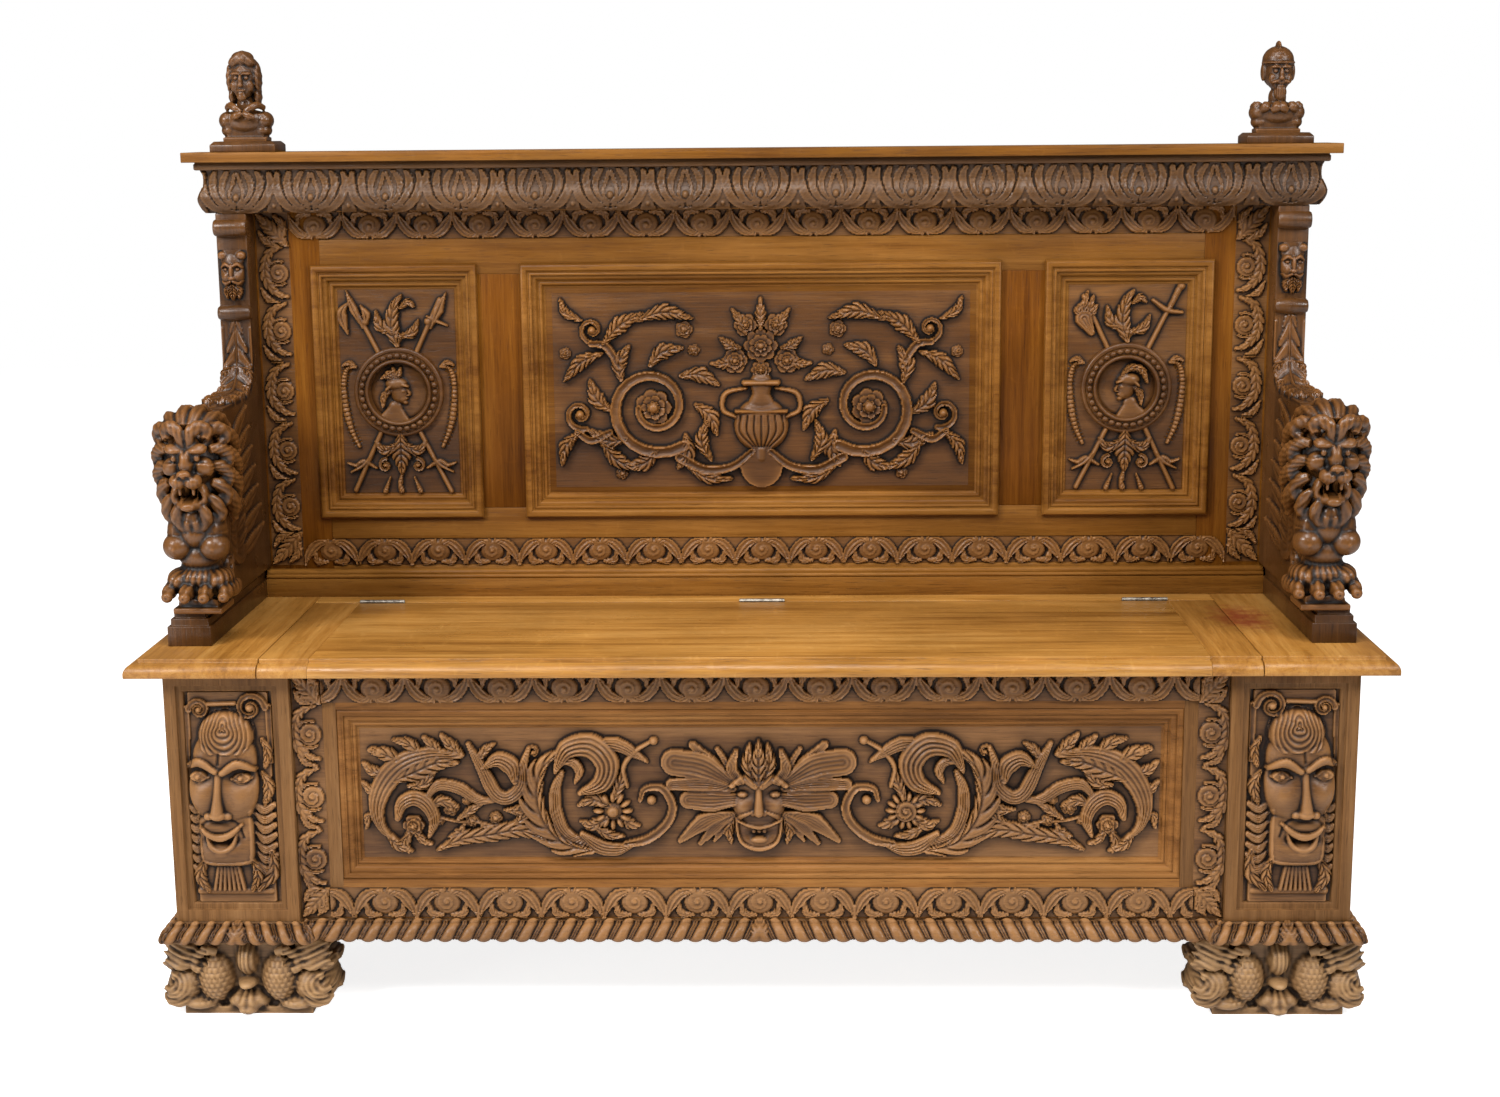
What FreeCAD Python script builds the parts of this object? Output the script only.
import FreeCAD, Part
import Sketcher
import math
import os
import re
from types import SimpleNamespace

# Carved oak settle: a box seat with a hinged lid, a panelled back, lion arms and a cornice.
# Millimetres. X to the right, Y to the back, Z up; the origin is on the floor, midway under the settle.

SIZES = {
    # whole settle
    "pier_span": 1576,
    "seat_height": 500,
    "total_depth": 444,
    # seat boards and lid
    "seat_thickness": 23,
    "seat_overhang": 45,
    "edge_radius": 13,
    "edge_step": 5,
    "edge_ledge": 3,
    "lid_lap": 35,
    "cleat_width": 66,
    "lid_gap": 1.5,
    "rear_strip_depth": 88,
    # hinges
    "hinge_inset": 33,
    "hinge_length": 66,
    "hinge_leaf_height": 20,
    "hinge_leaf_thickness": 1.6,
    "hinge_knuckle_radius": 3.2,
    "hinge_pin_radius": 1.5,
    "hinge_pin_play": 0.08,
    "hinge_knuckle_gap": 0.4,
    "hinge_axis_rise": 1,
    "hinge_notch": 4.2,
    # feet and base
    "foot_height": 108,
    "front_foot_width": 236,
    "front_foot_depth": 150,
    "front_foot_inset": 27,
    "front_foot_setback": 2,
    "rear_foot_width": 130,
    "rear_foot_depth": 100,
    "rear_foot_chamfer": 14,
    "base_height": 25,
    "base_projection": 20,
    "base_frame_width": 48,
    # piers at the two ends of the front
    "pier_width": 167,
    "pier_depth": 40,
    "pier_setback": 24,
    "pier_strip": 16,
    "pier_step_width": 9,
    "pier_step_depth": 5,
    "pier_recess": 11,
    "pier_edge_round": 3,
    # framed front between the piers
    "front_setback": 36,
    "front_thickness": 28,
    "front_stile_width": 59,
    "front_top_rail": 52,
    "front_bottom_rail": 55,
    "front_panel_recess": 12,
    "front_panel_thickness": 10,
    "front_moulding_width": 28,
    "front_moulding_rise": 10,
    # joints
    "tenon_length": 28,
    "tenon_thickness": 8,
    "tenon_shoulder": 12,
    "tenon_cover": 6,
    "back_tenon_cover": 9,
    "joint_play": 0.3,
    "groove_depth": 8,
    "groove_play": 0.3,
    # sides, back boards and floor of the chest
    "side_inset": 6,
    "side_thickness": 24,
    "side_rail_height": 70,
    "side_stile_width": 60,
    "side_panel_recess": 7,
    "side_panel_thickness": 9,
    "chest_back_thickness": 18,
    "floor_thickness": 14,
    # framed back above the seat
    "back_inset": 8,
    "back_height": 638,
    "back_thickness": 31,
    "back_stile_width": 141,
    "back_top_rail": 163,
    "back_bottom_rail": 131,
    "centre_opening": 668,
    "muntin_width": 91,
    "back_panel_recess": 9,
    "back_panel_thickness": 10,
    "band_width": 41,
    "band_depth": 2,
    # mouldings round the back panels
    "bolection_width": 35,
    "bolection_lap": 14,
    "bolection_rise": 12,
    # skirting and plinths under the arms
    "skirting_height": 40,
    "skirting_thickness": 16,
    "skirting_moulding": 13,
    "plinth_inset": 17,
    "plinth_width": 59,
    "plinth_length": 326,
    "plinth_step": 4,
    "plinth_cap": 7,
    # arms
    "arm_inset": 26,
    "arm_thickness": 44,
    "arm_top": 308,
    "arm_strap_depth": 46,
    "arm_strap_bend": 52,
    "arm_scroll_radius": 12,
    "arm_scroll_drop": 14,
    "arm_ring_radius": 10,
    "arm_ring_drop": 133,
    "arm_front_depth": 300,
    "arm_front_lean": 10,
    "arm_mask_rise": 17,
    "wing_length": 190,
    "wing_rise": 7,
    "wing_rear_gap": 16,
    # lion at the front of each arm
    "lion_head_width": 80,
    "lion_head_height": 92,
    "lion_head_depth": 84,
    "lion_crown_rise": 11,
    "lion_muzzle_radius": 19,
    "lion_breast_radius": 21,
    "lion_breast_height": 138,
    "lion_waist_width": 56,
    "lion_paw_width": 84,
    "lion_paw_height": 38,
    "lion_paw_depth": 68,
    "lion_toe_radius": 10,
    "lion_pad_height": 16,
    # cornice
    "shelf_overhang": 35,
    "shelf_depth": 98,
    "shelf_thickness": 14,
    "frieze_height": 71,
    "core_depth": 37,
    "frieze_fillet": 11,
    "frieze_projection": 20,
    # busts
    "bust_inset": 86.5,
    "bust_setback": 8,
    "bust_plinth_width": 93,
    "bust_plinth_depth": 66,
    "bust_plinth_height": 15,
    "bust_plinth_chamfer": 5,
    "bust_height": 126,
    "bust_shoulder_width": 87,
    "bust_head_width": 42,
    # carved roundels on the side panels
    "roundel_radius": 64,
    "roundel_inner_radius": 42,
    "roundel_rise": 15,
    "roundel_height": 800,
    "trophy_margin": 4,
    "trophy_shaft": 10,
    "trophy_rise": 6,
    "trophy_blade_width": 26,
    # pier masks
    "mask_width": 108,
    "mask_gap_below": 8,
    "mask_gap_above": 4,
    "mask_plate_rise": 7,
    "mask_face_width": 84,
    "mask_face_height": 150,
    "mask_face_rise": 30,
    "mask_volute_radius": 19,
    "mask_volute_rise": 16,
    # carving on the chest front
    "front_scroll_band": 15,
    "front_mask_width": 80,
    "front_mask_rise": 24,
    "front_scroll_radius": 58,
    "front_scroll_place": 232,
    "front_flower_radius": 21,
    "front_outer_scroll_radius": 44,
    "front_outer_scroll_place": 470,
    # carving on the middle panel of the back
    "vase_width": 84,
    "vase_height": 118,
    "vase_rise": 17,
    "centre_scroll_radius": 70,
    "centre_scroll_place": 170,
    "centre_scroll_band": 15,
}

PLACES = {
    # heights
    "base_top": "foot_height + base_height",
    "seat_under": "seat_height - seat_thickness",
    "panel_low": "base_top + front_bottom_rail",
    "panel_high": "seat_under - front_top_rail",
    "floor_top": "base_top + floor_thickness",
    "mask_low": "base_top + pier_strip + pier_step_width + mask_gap_below",
    "mask_high": "seat_under - pier_strip - pier_step_width - mask_gap_above",
    "back_top": "seat_height + back_height",
    "opening_low": "seat_height + back_bottom_rail",
    "opening_high": "back_top - back_top_rail",
    "shelf_top": "back_top + shelf_thickness",
    "frieze_low": "back_top - frieze_height",
    "plinth_top": "seat_height + skirting_height + plinth_step",
    "hinge_height": "seat_height + hinge_axis_rise",
    # distances from the middle to the right
    "pier_outer": "pier_span / 2",
    "pier_inner": "pier_outer - pier_width",
    "half_seat": "pier_outer + seat_overhang",
    "half_lid": "pier_inner + lid_lap",
    "lid_core": "half_lid - cleat_width",
    "hinge_middle": "lid_core - hinge_inset",
    "pier_middle": "pier_outer - pier_width / 2",
    "panel_side": "pier_inner - front_stile_width",
    "side_outer": "pier_outer - side_inset",
    "side_inner": "side_outer - side_thickness",
    "half_back": "pier_outer - back_inset",
    "stile_inner": "half_back - back_stile_width",
    "half_centre": "centre_opening / 2",
    "muntin_outer": "half_centre + muntin_width",
    "side_panel_middle": "(stile_inner + muntin_outer) / 2",
    "arm_middle": "half_back - arm_inset",
    "plinth_inner": "arm_middle - plinth_inset",
    "plinth_outer": "plinth_inner + plinth_width",
    "half_shelf": "half_back + shelf_overhang",
    "bust_middle": "half_shelf - bust_inset",
    # distances from the middle to the back
    "rear": "total_depth / 2",
    "seat_front": "-total_depth / 2",
    "pier_face": "seat_front + pier_setback",
    "front_face": "seat_front + front_setback",
    "front_rear": "front_face + front_thickness",
    "front_panel_face": "front_face + front_panel_recess",
    "back_board_face": "rear - chest_back_thickness",
    "back_face": "rear - back_thickness",
    "back_panel_face": "back_face + back_panel_recess",
    "hinge_line": "rear - rear_strip_depth",
    "core_face": "back_face - core_depth",
    "plinth_front": "back_face - plinth_length",
    "bust_line": "rear - shelf_depth / 2 - bust_setback",
}

doc = FreeCAD.newDocument("settle_bench")
sizes = doc.addObject("Spreadsheet::Sheet", "Sizes")
places = doc.addObject("Spreadsheet::Sheet", "Places")
nodes = {}


def fill(sheet, entries):
    for row, (name, content) in enumerate(entries.items(), 1):
        sheet.set(f"A{row}", name)
        sheet.set(f"B{row}", content)
        sheet.setAlias(f"B{row}", name)


def bound(formula):
    def home(match):
        word = match.group()
        return ("Sizes." if word in SIZES else "Places.") + word

    return re.sub(r"[a-z][a-z_]+", home, formula)


fill(sizes, {name: str(size) for name, size in SIZES.items()})
doc.recompute()
fill(places, {name: "=" + bound(formula) for name, formula in PLACES.items()})
doc.recompute()

at = SimpleNamespace()
for sheet, entries in ((sizes, SIZES), (places, PLACES)):
    for alias in entries:
        setattr(at, alias, float(sheet.get(alias)))


def node(label, thing):
    thing.Label = label
    nodes[label] = thing
    return thing


def box(name, across, along, up):
    solid = doc.addObject("Part::Box", name)
    for side, axis, (start, end) in zip(("Length", "Width", "Height"), "xyz", (across, along, up)):
        solid.setExpression(side, bound(f"({end}) - ({start})"))
        solid.setExpression(f"Placement.Base.{axis}", bound(start))
    return solid


def fused(name, pieces):
    joined = doc.addObject("Part::MultiFuse", name)
    joined.Shapes = pieces
    joined.Refine = True
    return joined


def without(name, base, tools):
    for number, tool in enumerate(tools):
        cut = doc.addObject("Part::Cut", f"{name}_cut_{number}")
        cut.Base = base
        cut.Tool = tool
        base = cut
    return base


def group(name, pieces):
    together = doc.addObject("Part::Compound", name)
    together.Links = pieces
    return together


def board(name, across, along, up, added=(), removed=()):
    solid = box(f"{name}_board", across, along, up)
    if added:
        extras = [box(f"{name}_tenon_{n}", *spans) for n, spans in enumerate(added)]
        solid = fused(f"{name}_fused", [solid] + extras)
    hollows = [box(f"{name}_hollow_{n}", *spans) for n, spans in enumerate(removed)]
    return without(name, solid, hollows)


def mirrored(side, span):
    start, end = span
    return (start, end) if side > 0 else (f"-({end})", f"-({start})")


def feature(name, shape):
    made = doc.addObject("Part::Feature", name)
    made.Shape = shape
    return made


SIDES = {"left": -1, "right": 1}


# Shapes for the carved work, in numbers read from the two sheets

def vector(x, y, z):
    return FreeCAD.Vector(x, y, z)


def faceted(rings):
    # a closed solid through rings of points, flat at its two ends
    faces = [rings[0], rings[-1]]
    for low, high in zip(rings, rings[1:]):
        for n in range(len(low)):
            a, b, c, d = low[n - 1], low[n], high[n], high[n - 1]
            level = abs((b - a).cross(c - a).dot(d - a)) < 0.001
            faces.extend([[a, b, c, d]] if level else [[a, b, c], [a, c, d]])
    shell = Part.makeShell([Part.Face(Part.makePolygon(corners + corners[:1])) for corners in faces])
    solid = Part.makeSolid(shell)
    return solid if solid.Volume > 0 else solid.reversed()


def many_sided(half_x, half_y, sides):
    # points round a polygon whose flats stand at the given distances from its middle
    grow = 1 / math.cos(math.pi / sides)
    angles = [2 * math.pi * (n + 0.5) / sides for n in range(sides)]
    return [(grow * half_x * math.cos(angle), grow * half_y * math.sin(angle)) for angle in angles]


def gem(x, y, z, across, along, up, sides=8):
    # a rounded lump carved in the round
    plan = many_sided(across, along, sides)
    levels = ((-1, 0.45), (-0.45, 0.95), (0.45, 0.95), (1, 0.45)) if sides > 6 else ((-1, 0.5), (0, 1), (1, 0.5))
    rings = []
    for step, share in levels:
        rings.append([vector(x + share * px, y + share * py, z + step * up) for px, py in plan])
    return faceted(rings)


def boss(x, y, z, across, rise, up, turn=0, sides=8):
    # a rounded lump standing on a board whose face is at y
    plan = many_sided(across, up, sides)
    levels = ((0, 1), (0.6, 0.86), (1, 0.5))
    rings = []
    for step, share in levels:
        rings.append([vector(share * px, -step * rise, share * pz) for px, pz in plan])
    lump = faceted(rings)
    lump.rotate(vector(0, 0, 0), vector(0, -1, 0), turn)
    lump.translate(vector(x, y, z))
    return lump


def lofted(x, y, sections, sides=8):
    # a solid through level sections, each given as a height and its two half widths
    rings = []
    for z, across, along in sections:
        rings.append([vector(x + px, y + py, z) for px, py in many_sided(across, along, sides)])
    return faceted(rings)


def bar(start, end, wide, rise):
    # a flat bar on the face of a board, from one place to the other
    line = end - start
    solid = Part.makeBox(line.Length, rise, wide, vector(0, -rise, -wide / 2))
    solid.rotate(vector(0, 0, 0), vector(0, -1, 0), math.degrees(math.atan2(line.z, line.x)))
    solid.translate(start)
    return solid


def raised(x, y, z, points, rise, draw=1):
    # a flat outline on the face of a board, grown towards the front and drawn in by a share
    base = [vector(px, 0, pz) for px, pz in points]
    top = [vector(draw * px, -rise, draw * pz) for px, pz in points]
    solid = faceted([base, top])
    solid.translate(vector(x, y, z))
    return solid


def leaf(x, y, z, long, wide, rise, lean=0):
    # a pointed blade with its stalk at the given place
    half = wide / 2
    upper = ((0, 0), (0.2, 0.72), (0.45, 1), (0.75, 0.62), (1, 0))
    points = [(long * (share - 0.5), half * side) for share, side in upper]
    points += [(px, -pz) for px, pz in reversed(points[1:-1])]
    blade = raised(0, 0, 0, points, rise, 0.6)
    blade.translate(vector(long / 2, 0, 0))
    blade.rotate(vector(0, 0, 0), vector(0, -1, 0), lean)
    blade.translate(vector(x, y, z))
    return blade


def half_ring(x, y, z, radius, band, rise, start, hand, steps=5):
    def along(distance, turns):
        angles = [math.radians(start + hand * 180 * n / steps) for n in turns]
        return [(distance * math.cos(angle), distance * math.sin(angle)) for angle in angles]

    outer = along(radius + band / 2, range(steps + 1))
    inner = along(radius - band / 2, range(steps, -1, -1))
    return raised(x, y, z, outer + inner, rise)


def disc(x, y, z, radius, rise, draw=0.8, sides=10):
    return raised(x, y, z, many_sided(radius, radius, sides), rise, draw)


def volute(x, y, z, radius, band, rise, start, hand, halves=3, shrink=0.66):
    # half rings of shrinking radius, each one starting where the last one ends, round a boss
    rings = []
    for n in range(halves):
        rings.append(half_ring(x, y, z, radius, band, rise, start, hand))
        start += hand * 180
        step = radius * (1 - shrink)
        x += step * math.cos(math.radians(start))
        z += step * math.sin(math.radians(start))
        radius *= shrink
        band *= 0.85
    return rings + [disc(x, y, z, 0.6 * radius, 1.2 * rise, sides=8)]


def rod(x, y, z, radius, long, sides=16):
    # a many-sided round bar along X, its flats at the radius
    ends = []
    for place in (x, x + long):
        ends.append([vector(place, y + py, z + pz) for py, pz in many_sided(radius, radius, sides)])
    return faceted(ends)


def joined(shapes):
    first, *others = shapes
    return first.multiFuse(others).removeSplitter() if others else first


def outline(start, *steps):
    # each step is a point for a straight stretch, or a (middle, end) pair for an arc
    edges = []
    here = vector(start[0], 0, start[1])
    for step in steps:
        if isinstance(step[0], tuple):
            middle, end = (vector(point[0], 0, point[1]) for point in step)
            edges.append(Part.Arc(here, middle, end).toShape())
        else:
            end = vector(step[0], 0, step[1])
            edges.append(Part.LineSegment(here, end).toShape())
        here = end
    return Part.Wire(edges)


def mitred_run(profile, corners, reach, closed=False):
    # one solid for each straight length, square at open ends and mitred where two lengths meet
    face = Part.Face(profile)
    low = face.BoundBox.ZMin - 1
    tall = face.BoundBox.ZLength + 2
    count = len(corners)
    points = [vector(x, y, 0) for x, y in corners]
    runs = count if closed else count - 1
    ways = [(points[(n + 1) % count] - points[n]).normalize() for n in range(runs)]
    normals = [vector(way.y, -way.x, 0) for way in ways]

    def mitre(index):
        before = normals[index - 1] if closed or index > 0 else normals[index]
        after = normals[index % runs] if closed or index < runs else normals[index - 1]
        return (before + after) * (1 / (1 + before.dot(after)))

    lengths = []
    for n in range(runs):
        start, end = points[n], points[(n + 1) % count]
        margin = 3 * max(abs(value) for value in reach)
        placed = face.copy()
        turn = FreeCAD.Matrix()
        turn.A11, turn.A21 = normals[n].x, normals[n].y
        turn.A12, turn.A22 = ways[n].x, ways[n].y
        placed.transformShape(turn)
        placed.translate(start - ways[n] * margin)
        bar = placed.extrude(ways[n] * ((end - start).Length + 2 * margin))
        near, far = mitre(n), mitre(n + 1)
        plan = [start + near * reach[0], start + near * reach[1], end + far * reach[1], end + far * reach[0]]
        prism = Part.Face(Part.makePolygon(plan + plan[:1])).extrude(vector(0, 0, tall))
        prism.translate(vector(0, 0, low))
        lengths.append(bar.common(prism).Solids[0])
    return lengths


def upright(shape, face):
    # from a plan lying on XY to a wall standing on XZ, its thickness towards the front
    stood = shape.copy()
    stood.rotate(vector(0, 0, 0), vector(1, 0, 0), 90)
    stood.translate(vector(0, face, 0))
    return stood


# Feet: carved dolphins in front, plain blocks behind

def dolphin_foot(middle):
    half, tall, depth = at.front_foot_width / 2, at.foot_height, at.front_foot_depth
    front = at.pier_face - at.base_projection + at.front_foot_setback
    centre = front + depth / 2
    wide_core = 1.46 * half
    core_corner = vector(middle - wide_core / 2, front + 0.2 * depth, 0)
    shapes = [Part.makeBox(wide_core, 0.7 * depth, tall, core_corner)]
    for way in (-1, 1):
        body, head, tail = (middle + way * share * half for share in (0.36, 0.72, 0.7))
        shapes.append(gem(body, centre, 0.48 * tall, 0.28 * half, depth / 2, 0.42 * tall))
        shapes.append(gem(head, centre, 0.34 * tall, 0.28 * half, 0.42 * depth, 0.34 * tall))
        shapes.append(gem(tail, centre, 0.8 * tall, 0.3 * half, 0.42 * depth, 0.2 * tall))
    shapes.append(gem(middle, centre, 0.75 * tall, 0.14 * half, 0.48 * depth, 0.25 * tall))
    shapes.append(gem(middle, centre, 0.16 * tall, 0.26 * half, 0.48 * depth, 0.16 * tall))
    return joined(shapes)


foot_middle = at.pier_outer + at.front_foot_inset - at.front_foot_width / 2
for side_name, side in SIDES.items():
    node(f"front_foot_{side_name}", feature(f"front_foot_{side_name}", dolphin_foot(side * foot_middle)))

rear_blocks = []
for side_name, side in SIDES.items():
    across = mirrored(side, ("side_outer - rear_foot_width", "side_outer"))
    along = ("rear - rear_foot_depth", "rear")
    block = box(f"rear_foot_block_{side_name}", across, along, ("0", "foot_height"))
    doc.recompute()
    eased = doc.addObject("Part::Chamfer", f"rear_foot_{side_name}")
    eased.Base = block
    low_edges = [
        (number, at.rear_foot_chamfer, at.rear_foot_chamfer)
        for number, edge in enumerate(block.Shape.Edges, 1)
        if edge.BoundBox.ZMax < 0.1 and edge.BoundBox.YMax < at.rear - 1
    ]
    eased.Edges = low_edges
    rear_blocks.append(eased)
node("rear_feet", group("rear_feet_group", rear_blocks))


# Base: a plain frame under the chest and a moulding planted round three sides of it

frame_front = ("front_face", "front_face + base_frame_width")
frame_rear = ("rear - base_frame_width", "rear")
frame_low = ("foot_height", "base_top")
pads = [
    (mirrored(side, ("pier_inner", "pier_outer")), ("pier_face", "front_face"), frame_low)
    for side in SIDES.values()
]
frame_pieces = [
    board("base_front_member", ("-pier_outer", "pier_outer"), frame_front, frame_low, added=pads),
    board("base_rear_member", ("-pier_outer", "pier_outer"), frame_rear, frame_low),
]
for side_name, side in SIDES.items():
    across = mirrored(side, ("pier_outer - base_frame_width", "pier_outer"))
    along = (frame_front[1], frame_rear[0])
    frame_pieces.append(board(f"base_side_member_{side_name}", across, along, frame_low))
node("base_frame", group("base_frame_group", frame_pieces))

base_low, base_tall, base_out = at.foot_height, at.base_height, at.base_projection
base_profile = outline(
    (0, base_low),
    (0.8 * base_out, base_low),
    (base_out, base_low + 0.12 * base_tall),
    (0.96 * base_out, base_low + 0.3 * base_tall),
    (0.75 * base_out, base_low + 0.62 * base_tall),
    (0.35 * base_out, base_low + 0.8 * base_tall),
    (0.35 * base_out, base_low + base_tall),
    (0, base_low + base_tall),
    (0, base_low),
)
base_line = [
    (-at.pier_outer, at.rear),
    (-at.pier_outer, at.pier_face),
    (-at.pier_inner, at.pier_face),
    (-at.pier_inner, at.front_face),
    (at.pier_inner, at.front_face),
    (at.pier_inner, at.pier_face),
    (at.pier_outer, at.pier_face),
    (at.pier_outer, at.rear),
]
base_runs = mitred_run(base_profile, base_line, (0, base_out + 1))
node("base_moulding_left", feature("base_moulding_left", Part.makeCompound(base_runs[:3])))
node("base_moulding_front", feature("base_moulding_front", base_runs[3]))
node("base_moulding_right", feature("base_moulding_right", Part.makeCompound(base_runs[4:])))


# Bodies drawn as sketches: a rectangle on one of the body's own planes, its corner at the given offset

def plane_of(body, role):
    return next(plane for plane in body.Origin.OriginFeatures if plane.Role == role)


def rectangle(body, name, role, wide, tall, offset=("0", "0", "0")):
    sketch = body.newObject("Sketcher::SketchObject", name)
    sketch.AttachmentSupport = [(plane_of(body, role), "")]
    sketch.MapMode = "FlatFace"
    for axis, shift in zip("xyz", offset):
        sketch.setExpression(f"AttachmentOffset.Base.{axis}", bound(shift))
    corners = [vector(0, 0, 0), vector(10, 0, 0), vector(10, 10, 0), vector(0, 10, 0)]
    for n in range(4):
        sketch.addGeometry(Part.LineSegment(corners[n], corners[(n + 1) % 4]))
    for n in range(4):
        sketch.addConstraint(Sketcher.Constraint("Coincident", n, 2, (n + 1) % 4, 1))
        sketch.addConstraint(Sketcher.Constraint("Horizontal" if n % 2 == 0 else "Vertical", n))
    sketch.addConstraint(Sketcher.Constraint("Coincident", 0, 1, -1, 1))
    width = sketch.addConstraint(Sketcher.Constraint("DistanceX", 0, 1, 0, 2, 10))
    height = sketch.addConstraint(Sketcher.Constraint("DistanceY", 1, 1, 1, 2, 10))
    sketch.setExpression(f"Constraints[{width}]", bound(wide))
    sketch.setExpression(f"Constraints[{height}]", bound(tall))
    return sketch


def pad(body, name, sketch, length, backwards=False):
    solid = body.newObject("PartDesign::Pad", name)
    solid.Profile = sketch
    solid.Reversed = backwards
    solid.setExpression("Length", bound(length))
    return solid


def pocket(body, name, sketch, length):
    before = body.Shape.Volume
    hollow = body.newObject("PartDesign::Pocket", name)
    hollow.Profile = sketch
    hollow.setExpression("Length", bound(length))
    doc.recompute()
    if hollow.Shape.Volume > before - 1:
        raise ValueError(f"{name} cuts nothing")
    return hollow


def dressed(body, kind, name, base, chosen, size_name, size):
    doc.recompute()
    edges = [f"Edge{n}" for n, edge in enumerate(base.Shape.Edges, 1) if chosen(edge.BoundBox)]
    made = body.newObject(f"PartDesign::{kind}", name)
    made.Base = (base, edges)
    made.setExpression(size_name, bound(size))
    return made


def placed_body(name, x, y, z):
    body = doc.addObject("PartDesign::Body", name)
    for axis, place in zip("xyz", (x, y, z)):
        body.setExpression(f"Placement.Base.{axis}", bound(place))
    return body


# Piers: a thick board with a sunk, stepped panel in its face

for side_name, side in SIDES.items():
    start = mirrored(side, ("pier_inner", "pier_outer"))[0]
    body = placed_body(f"pier_body_{side_name}", start, "pier_face", "base_top")
    face = rectangle(body, f"pier_outline_{side_name}", "XZ_Plane", "pier_width", "seat_under - base_top")
    block = pad(body, f"pier_pad_{side_name}", face, "pier_depth", backwards=True)
    doc.recompute()
    margins = ("pier_strip", "pier_strip + pier_step_width")
    depths = ("pier_step_depth", "pier_recess")
    for number, (margin, depth) in enumerate(zip(margins, depths)):
        sunk = rectangle(
            body,
            f"pier_sunk_{side_name}_{number}",
            "XZ_Plane",
            f"pier_width - 2 * ({margin})",
            f"seat_under - base_top - 2 * ({margin})",
            (margin, margin, "0"),
        )
        block = pocket(body, f"pier_pocket_{side_name}_{number}", sunk, depth)
    step = at.pier_step_depth
    strip = at.pier_strip

    def on_step(bounds):
        flat = abs(bounds.YMin - step) < 0.01 and abs(bounds.YMax - step) < 0.01
        return flat and bounds.XMin > strip + 1 and bounds.XMax < at.pier_width - strip - 1

    dressed(body, "Fillet", f"pier_round_{side_name}", block, on_step, "Radius", "pier_edge_round")
    node(f"pier_{side_name}", body)


# Front of the chest: tenoned rails and stiles round a panel held in grooves

tenon_along = ("front_rear - tenon_thickness - tenon_cover", "front_rear - tenon_cover")
mortise_along = (f"{tenon_along[0]} - joint_play", f"{tenon_along[1]} + joint_play")
panel_along = ("front_panel_face", "front_panel_face + front_panel_thickness")
groove_along = (f"{panel_along[0]} - groove_play", f"{panel_along[1]} + groove_play")
rail_heights = {
    "bottom": ("base_top", "panel_low"),
    "top": ("panel_high", "seat_under"),
}
tenon_heights = {
    "bottom": ("base_top + tenon_shoulder", "panel_low - tenon_shoulder"),
    "top": ("panel_high + tenon_shoulder", "seat_under - tenon_shoulder"),
}
groove_heights = {
    "bottom": ("panel_low - groove_depth", "panel_low"),
    "top": ("panel_high", "panel_high + groove_depth"),
}
for place in ("bottom", "top"):
    tenons = [
        (mirrored(side, ("panel_side", "panel_side + tenon_length")), tenon_along, tenon_heights[place])
        for side in SIDES.values()
    ]
    groove = (("-panel_side", "panel_side"), groove_along, groove_heights[place])
    rail = board(
        f"chest_{place}_rail",
        ("-panel_side", "panel_side"),
        ("front_face", "front_rear"),
        rail_heights[place],
        added=tenons,
        removed=[groove],
    )
    node(f"chest_{place}_rail", rail)

for side_name, side in SIDES.items():
    mortises = [
        (
            mirrored(side, ("panel_side", "panel_side + tenon_length + 1")),
            mortise_along,
            (f"{low} - joint_play", f"{high} + joint_play"),
        )
        for low, high in tenon_heights.values()
    ]
    groove = (
        mirrored(side, ("panel_side", "panel_side + groove_depth")),
        groove_along,
        ("panel_low - groove_depth", "panel_high + groove_depth"),
    )
    stile = board(
        f"chest_stile_{side_name}",
        mirrored(side, ("panel_side", "pier_inner")),
        ("front_face", "front_rear"),
        ("base_top", "seat_under"),
        removed=mortises + [groove],
    )
    node(f"chest_stile_{side_name}", stile)

panel_reach = "groove_depth - groove_play"
front_panel = board(
    "chest_front_panel",
    (f"-(panel_side + {panel_reach})", f"panel_side + {panel_reach}"),
    panel_along,
    (f"panel_low - ({panel_reach})", f"panel_high + {panel_reach}"),
)
node("chest_front_panel", front_panel)

wide, rise = at.front_moulding_width, at.front_moulding_rise
front_profile = outline(
    (0, 0),
    (0, rise),
    (0.16 * wide, rise),
    ((0.3 * wide, 1.08 * rise), (0.44 * wide, rise)),
    (0.44 * wide, 0.72 * rise),
    ((0.62 * wide, 0.66 * rise), (0.74 * wide, 0.42 * rise)),
    (0.84 * wide, 0.42 * rise),
    ((0.94 * wide, 0.36 * rise), (wide, 0.14 * rise)),
    (wide, 0),
    (0, 0),
)
front_rectangle = [
    (-at.panel_side, at.panel_low),
    (-at.panel_side, at.panel_high),
    (at.panel_side, at.panel_high),
    (at.panel_side, at.panel_low),
]
front_lengths = mitred_run(front_profile, front_rectangle, (0, wide + 1), closed=True)
front_moulding = upright(Part.makeCompound(front_lengths), at.front_panel_face)
node("chest_panel_moulding", feature("chest_panel_moulding", front_moulding))


# Sides of the chest: a frame of four members round a panel, seen only from the ends

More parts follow.
